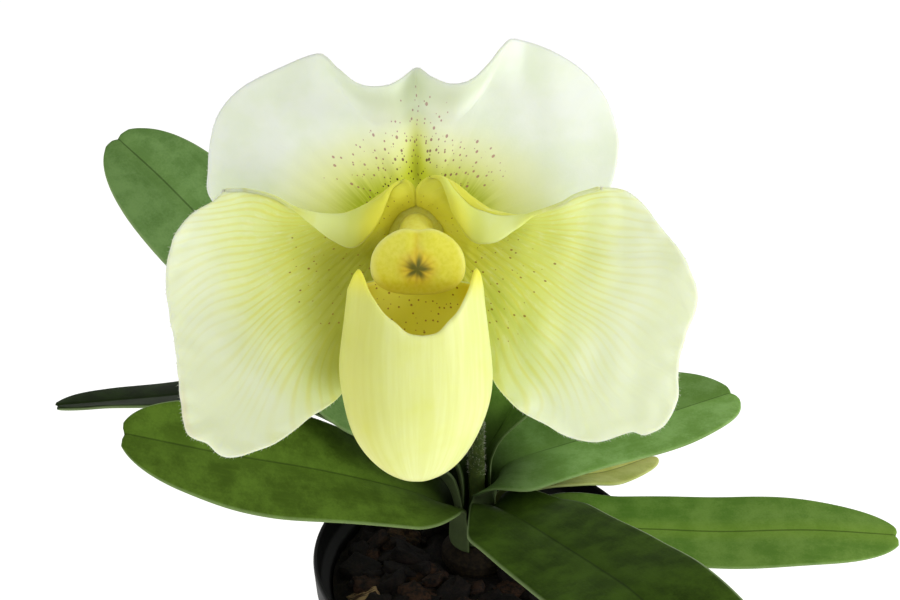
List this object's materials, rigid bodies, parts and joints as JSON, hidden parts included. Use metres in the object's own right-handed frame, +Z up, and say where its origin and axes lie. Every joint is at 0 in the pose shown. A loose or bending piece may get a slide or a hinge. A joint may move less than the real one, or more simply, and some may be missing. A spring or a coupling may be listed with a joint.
{
  "type": "potted slipper orchid",
  "caption": "Slipper orchid with a single broad flower and spreading strap leaves, growing in bark mix in a round black nursery pot.",
  "frame": {"origin": "centre of the pot's underside", "axes": "+Z up, the flower faces -Y, +X to the viewer's right"},
  "size_m": [0.26, 0.1982, 0.2722],
  "materials": {
    "pot_plastic": "satin black",
    "bark_mix": "rough bark",
    "root_skin": "matte",
    "leaf_green": "satin",
    "leaf_yellowed": "satin",
    "stem_green": "finely hairy",
    "sepal_white": "soft matte",
    "petal_cream": "soft matte",
    "pouch_yellow": "waxy satin",
    "column_yellow": "waxy satin"
  },
  "bodies": {
    "root": {"pot": "pot_plastic", "potting_mix": "bark_mix", "rootstock": "root_skin", "leaf_back_left": "leaf_green", "leaf_left_high": "leaf_green", "leaf_left_low": "leaf_green", "leaf_back_right": "leaf_green", "leaf_right_high": "leaf_green", "leaf_right_low": "leaf_green", "leaf_front_right": "leaf_green", "leaf_old": "leaf_yellowed", "flower_stem": "stem_green", "ovary": "stem_green", "bract": "stem_green", "dorsal_sepal": "sepal_white", "synsepal": "sepal_white", "petal_left": "petal_cream", "petal_right": "petal_cream", "lip_pouch": "pouch_yellow", "column": "column_yellow", "staminode": "column_yellow"}
  },
  "joints": []
}
